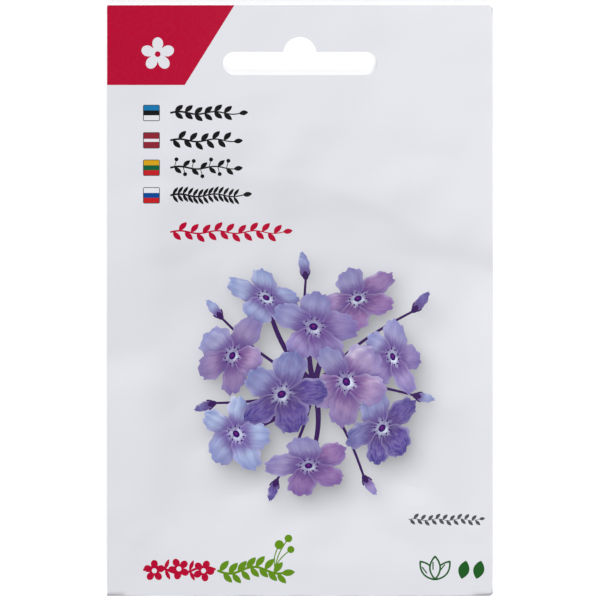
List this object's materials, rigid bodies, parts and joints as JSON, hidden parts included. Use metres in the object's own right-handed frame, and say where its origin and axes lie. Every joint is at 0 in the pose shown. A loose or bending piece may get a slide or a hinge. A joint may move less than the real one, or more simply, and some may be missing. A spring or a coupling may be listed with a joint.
{
  "type": "seed packet",
  "caption": "Flat coated-paper seed packet with a printed front, a sealed header with a punched hanging slot, and an inner foil sachet of pelleted seeds.",
  "frame": {"origin": "middle of the packet's outline, on the surface that its back lies on", "axes": "+X to the packet's right seen from the printed front, +Y up the packet to the header, +Z out of the printed front"},
  "size_m": [0.08, 0.1226, 0.003],
  "materials": {
    "paper": "coated white paper with a soft satin sheen, printed on the outside",
    "glue": "thin film of heat-sealed adhesive",
    "foil": "matt laminated foil, welded at the edges",
    "seed": "dusty clay coat of pelleted seed"
  },
  "bodies": {
    "root": {"wrapper": "paper", "side_seam_glue": "glue", "bottom_seam_glue": "glue", "header_glue": "glue", "sachet_front": "foil", "sachet_back": "foil", "seed_01": "seed", "seed_02": "seed", "seed_03": "seed", "seed_04": "seed", "seed_05": "seed", "seed_06": "seed", "seed_07": "seed", "seed_08": "seed", "seed_09": "seed", "seed_10": "seed", "seed_11": "seed", "seed_12": "seed", "seed_13": "seed", "seed_14": "seed", "seed_15": "seed", "seed_16": "seed", "seed_17": "seed", "seed_18": "seed", "seed_19": "seed", "seed_20": "seed", "seed_21": "seed", "seed_22": "seed", "seed_23": "seed", "seed_24": "seed", "seed_25": "seed", "seed_26": "seed", "seed_27": "seed", "seed_28": "seed", "seed_29": "seed", "seed_30": "seed", "seed_31": "seed", "seed_32": "seed", "seed_33": "seed", "seed_34": "seed", "seed_35": "seed", "seed_36": "seed", "seed_37": "seed", "seed_38": "seed", "seed_39": "seed", "seed_40": "seed", "seed_41": "seed", "seed_42": "seed", "seed_43": "seed", "seed_44": "seed", "seed_45": "seed", "seed_46": "seed", "seed_47": "seed", "seed_48": "seed", "seed_49": "seed", "seed_50": "seed"}
  },
  "joints": []
}
